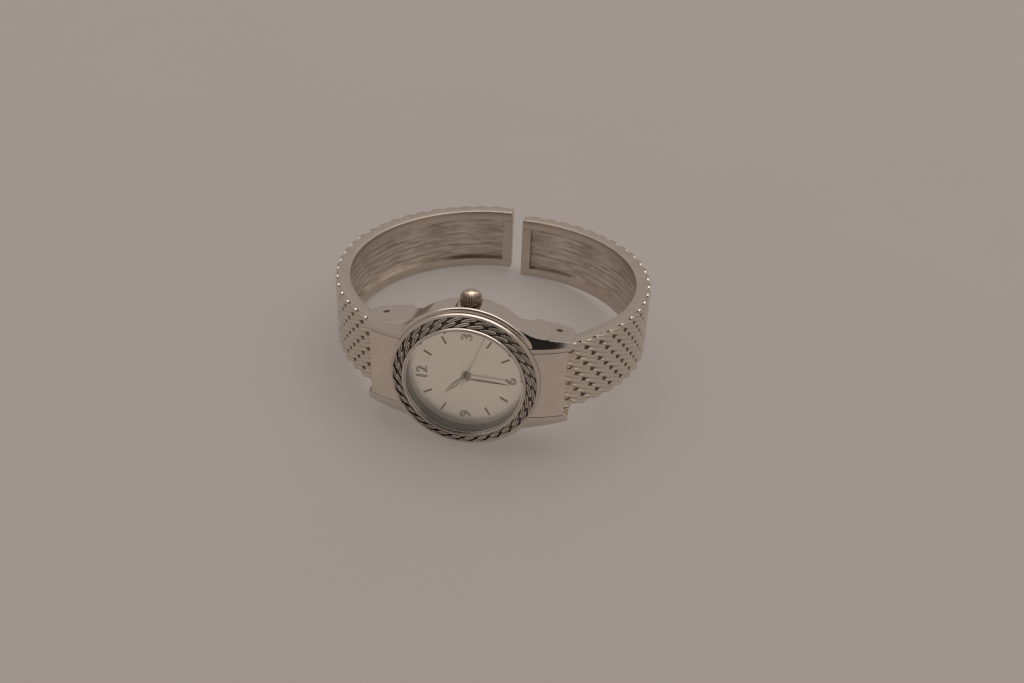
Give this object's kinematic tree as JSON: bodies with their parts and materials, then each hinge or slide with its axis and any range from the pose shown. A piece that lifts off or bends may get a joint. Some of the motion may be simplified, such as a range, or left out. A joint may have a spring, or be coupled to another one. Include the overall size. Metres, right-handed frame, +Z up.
{
  "type": "cuff watch",
  "caption": "Small round quartz watch on a rigid hinged cuff: two sprung arms with woven outsides and recessed insides, rope-edged bezel, sunray dial.",
  "frame": {"origin": "centre of the bounding box on the surface the watch lies on", "axes": "+Z up from the surface the watch lies on, on its 9 o'clock side, with the crown on top; the dial faces -Y and leans back a little; 6 o'clock is towards +X"},
  "size_m": [0.0654, 0.0646, 0.03],
  "materials": {
    "polished_case": "polished, silver-coloured plating",
    "cuff_metal": "polished links, satin sides and floor",
    "crown_metal": "polished, slightly brassy",
    "steel": "satin",
    "cell_steel": "bright",
    "back_steel": "satin",
    "crystal": "clear, faintly green at its edge",
    "gasket": "matte",
    "flange": "satin grey",
    "dial": "sunray champagne-silver",
    "markers": "dark polished",
    "hands": "polished",
    "wheel_brass": "satin",
    "magnet": "matte",
    "holder_plastic": "matte",
    "plate_plastic": "matte",
    "copper": "enamelled wire",
    "board": "gloss"
  },
  "bodies": {
    "case": {"mid_case": "polished_case", "bezel": "polished_case", "crystal": "crystal", "crystal_gasket": "gasket", "dial_ring": "flange", "dial": "dial", "hour_markers": "markers", "hood_plate_12": "polished_case", "hood_plate_6": "polished_case", "hinge_pin_12": "steel", "hinge_pin_6": "steel", "hinge_spring_12": "steel", "hinge_spring_6": "steel", "crown_tube": "steel", "movement_holder": "holder_plastic", "main_plate": "plate_plastic", "train_bridge": "steel", "bridge_screws": "steel", "stator": "steel", "coil_core": "steel", "coil_winding": "copper", "circuit_board": "board", "quartz_oscillator": "steel", "battery": "cell_steel", "battery_clamp": "steel", "clamp_screw": "steel", "case_back": "back_steel", "case_back_gasket": "gasket"},
    "sliding_pinion": {"sliding_pinion": "steel"},
    "crown": {"crown": "crown_metal", "crown_gasket": "gasket", "stem": "steel"},
    "setting_lever": {"setting_lever": "steel"},
    "rotor": {"rotor": "magnet"},
    "intermediate_wheel": {"intermediate_wheel": "wheel_brass"},
    "seconds": {"seconds_wheel": "wheel_brass", "second_hand": "hands"},
    "third_wheel": {"third_wheel": "wheel_brass"},
    "centre": {"centre_wheel": "wheel_brass", "minute_hand": "hands"},
    "minute_wheel": {"minute_wheel": "wheel_brass"},
    "hour": {"hour_wheel": "wheel_brass", "hour_hand": "hands"},
    "setting_wheel": {"setting_wheel": "wheel_brass"},
    "cuff_arm_12": {"cuff_arm_12": "cuff_metal"},
    "cuff_arm_6": {"cuff_arm_6": "cuff_metal"}
  },
  "joints": [
    {"name": "cuff_arm_12_hinge", "type": "hinge", "parent": "case", "child": "cuff_arm_12", "pos_m": [-0.01646, -0.02267, 0.01224], "axis": [-0.1012, 0.1199, 0.9876], "range_deg": [0, 25], "stiffness_Nm_per_rad": 0.08, "springref_deg": -20.05, "deforming": ["hinge_spring_12"]},
    {"name": "cuff_arm_6_hinge", "type": "hinge", "parent": "case", "child": "cuff_arm_6", "pos_m": [0.01589, -0.02267, 0.01555], "axis": [0.1012, -0.1199, -0.9876], "range_deg": [0, 25], "stiffness_Nm_per_rad": 0.08, "springref_deg": -20.05, "deforming": ["hinge_spring_6"]},
    {"name": "crown_turn", "type": "hinge", "parent": "case", "child": "sliding_pinion", "pos_m": [-0.00132, -0.02311, 0.02397], "axis": [-0.1012, 0.1199, 0.9876], "continuous": true},
    {"name": "crown_pull", "type": "slide", "parent": "sliding_pinion", "child": "crown", "axis": [-0.1012, 0.1199, 0.9876], "range_m": [0, 0.0009]},
    {"name": "setting_lever_turn", "type": "hinge", "parent": "case", "child": "setting_lever", "pos_m": [-0.00315, -0.02275, 0.02217], "axis": [-0.0122, -0.9928, 0.1193], "range_deg": [0, 26]},
    {"name": "seconds_turn", "type": "hinge", "parent": "case", "child": "seconds", "pos_m": [-0.00032, -0.02525, 0.0142], "axis": [0.0122, 0.9928, -0.1193], "continuous": true},
    {"name": "rotor_turn", "type": "hinge", "parent": "case", "child": "rotor", "pos_m": [0.00275, -0.02557, 0.01181], "axis": [0.0122, 0.9928, -0.1193], "continuous": true},
    {"name": "intermediate_turn", "type": "hinge", "parent": "case", "child": "intermediate_wheel", "pos_m": [0.00165, -0.02538, 0.01333], "axis": [0.0122, 0.9928, -0.1193], "continuous": true},
    {"name": "third_turn", "type": "hinge", "parent": "case", "child": "third_wheel", "pos_m": [-0.0028, -0.02508, 0.01531], "axis": [0.0122, 0.9928, -0.1193], "continuous": true},
    {"name": "centre_turn", "type": "hinge", "parent": "case", "child": "centre", "pos_m": [-0.00032, -0.02525, 0.0142], "axis": [0.0122, 0.9928, -0.1193], "continuous": true},
    {"name": "minute_wheel_turn", "type": "hinge", "parent": "case", "child": "minute_wheel", "pos_m": [0.00066, -0.025, 0.01638], "axis": [0.0122, 0.9928, -0.1193], "continuous": true},
    {"name": "hour_turn", "type": "hinge", "parent": "case", "child": "hour", "pos_m": [-0.00032, -0.02525, 0.0142], "axis": [0.0122, 0.9928, -0.1193], "continuous": true},
    {"name": "setting_wheel_turn", "type": "hinge", "parent": "case", "child": "setting_wheel", "pos_m": [-0.0009, -0.0247, 0.01869], "axis": [0.0122, 0.9928, -0.1193], "continuous": true}
  ],
  "couplings": [
    {"joint": "setting_lever_turn", "follows": "crown_pull", "rad_per_m": 480.19},
    {"joint": "rotor_turn", "follows": "seconds_turn", "ratio": 30},
    {"joint": "intermediate_turn", "follows": "seconds_turn", "ratio": -5},
    {"joint": "third_turn", "follows": "seconds_turn", "ratio": -0.13333},
    {"joint": "centre_turn", "follows": "seconds_turn", "ratio": 0.016667},
    {"joint": "minute_wheel_turn", "follows": "seconds_turn", "ratio": -0.0055556},
    {"joint": "hour_turn", "follows": "seconds_turn", "ratio": 0.0013889},
    {"joint": "setting_wheel_turn", "follows": "seconds_turn", "ratio": 0.01}
  ]
}
